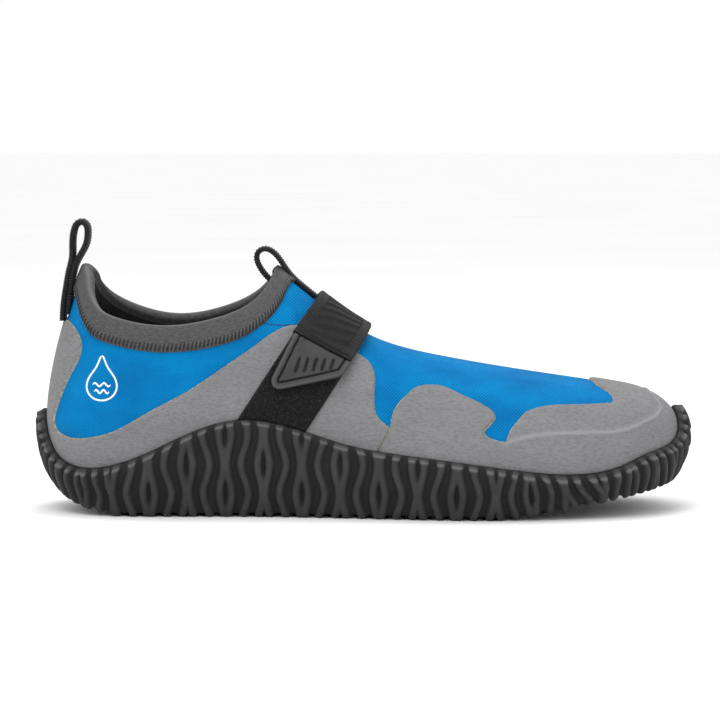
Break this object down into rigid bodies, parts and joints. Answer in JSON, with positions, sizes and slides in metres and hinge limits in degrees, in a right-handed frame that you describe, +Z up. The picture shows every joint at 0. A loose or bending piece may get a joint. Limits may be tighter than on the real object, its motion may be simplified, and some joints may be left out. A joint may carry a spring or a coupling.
{
  "type": "neoprene water shoe",
  "caption": "Low-cut neoprene water shoe for the right foot, with a rubber sole bowl, leather overlays, an instep strap with a pull tab, and heel and front pull loops.",
  "frame": {"origin": "on the ground, under the middle of the shoe's outer box", "axes": "+X towards the toe, +Y towards the inner side of the foot, +Z up from the ground"},
  "size_m": [0.2898, 0.1079, 0.128],
  "materials": {
    "sole_rubber": "matte charcoal moulded rubber",
    "foam": "soft grey foam",
    "board": "stitched fibre board",
    "footbed_fabric": "dark knit over foam",
    "blue_neoprene": "bright blue knit jersey on neoprene",
    "grey_knit": "brushed grey knit band",
    "grey_leather": "mid grey synthetic leather with a fine wrinkled grain",
    "stiffener": "thin moulded stiffener",
    "dark_lining": "dark knit lining",
    "webbing": "black ribbed webbing",
    "loop_pile": "black fuzzy loop pile",
    "tab_rubber": "smooth matte dark grey rubber"
  },
  "bodies": {
    "shoe": {"outsole": "sole_rubber", "midsole": "foam", "lasting_board": "board", "footbed": "footbed_fabric", "lateral_quarter": "blue_neoprene", "medial_quarter": "blue_neoprene", "vamp": "blue_neoprene", "collar_band": "grey_knit", "rear_overlay": "grey_leather", "front_overlay": "grey_leather", "heel_counter": "stiffener", "toe_puff": "stiffener", "heel_lining": "dark_lining", "strap_anchor": "webbing", "strap_pile_panel": "loop_pile", "heel_loop_tail": "webbing", "front_loop_base": "webbing", "front_loop_tail": "webbing"},
    "strap": {"strap_webbing": "webbing"},
    "pull_tab": {"strap_tab": "tab_rubber", "hook_patch": "loop_pile"},
    "heel_pull": {"heel_loop": "webbing"},
    "front_pull": {"front_loop": "webbing"}
  },
  "joints": [
    {"name": "strap_lift", "type": "hinge", "parent": "shoe", "child": "strap", "pos_m": [-0.009, 0.0142, 0.0879], "axis": [-0.8196, -0.0256, 0.5724], "range_deg": [0, 110]},
    {"name": "tab_peel", "type": "hinge", "parent": "strap", "child": "pull_tab", "pos_m": [-0.0182, -0.0335, 0.0743], "axis": [-0.8255, 0.1464, 0.5451], "range_deg": [0, 80]},
    {"name": "heel_loop_flop", "type": "hinge", "parent": "shoe", "child": "heel_pull", "pos_m": [-0.134, 0, 0.0863], "axis": [0, -1, 0], "range_deg": [-3, 100], "stiffness_Nm_per_rad": 0.01},
    {"name": "front_loop_lean", "type": "hinge", "parent": "shoe", "child": "front_pull", "pos_m": [-0.0404, 0, 0.1072], "axis": [0, 1, 0], "range_deg": [-15, 10], "stiffness_Nm_per_rad": 0.01}
  ]
}
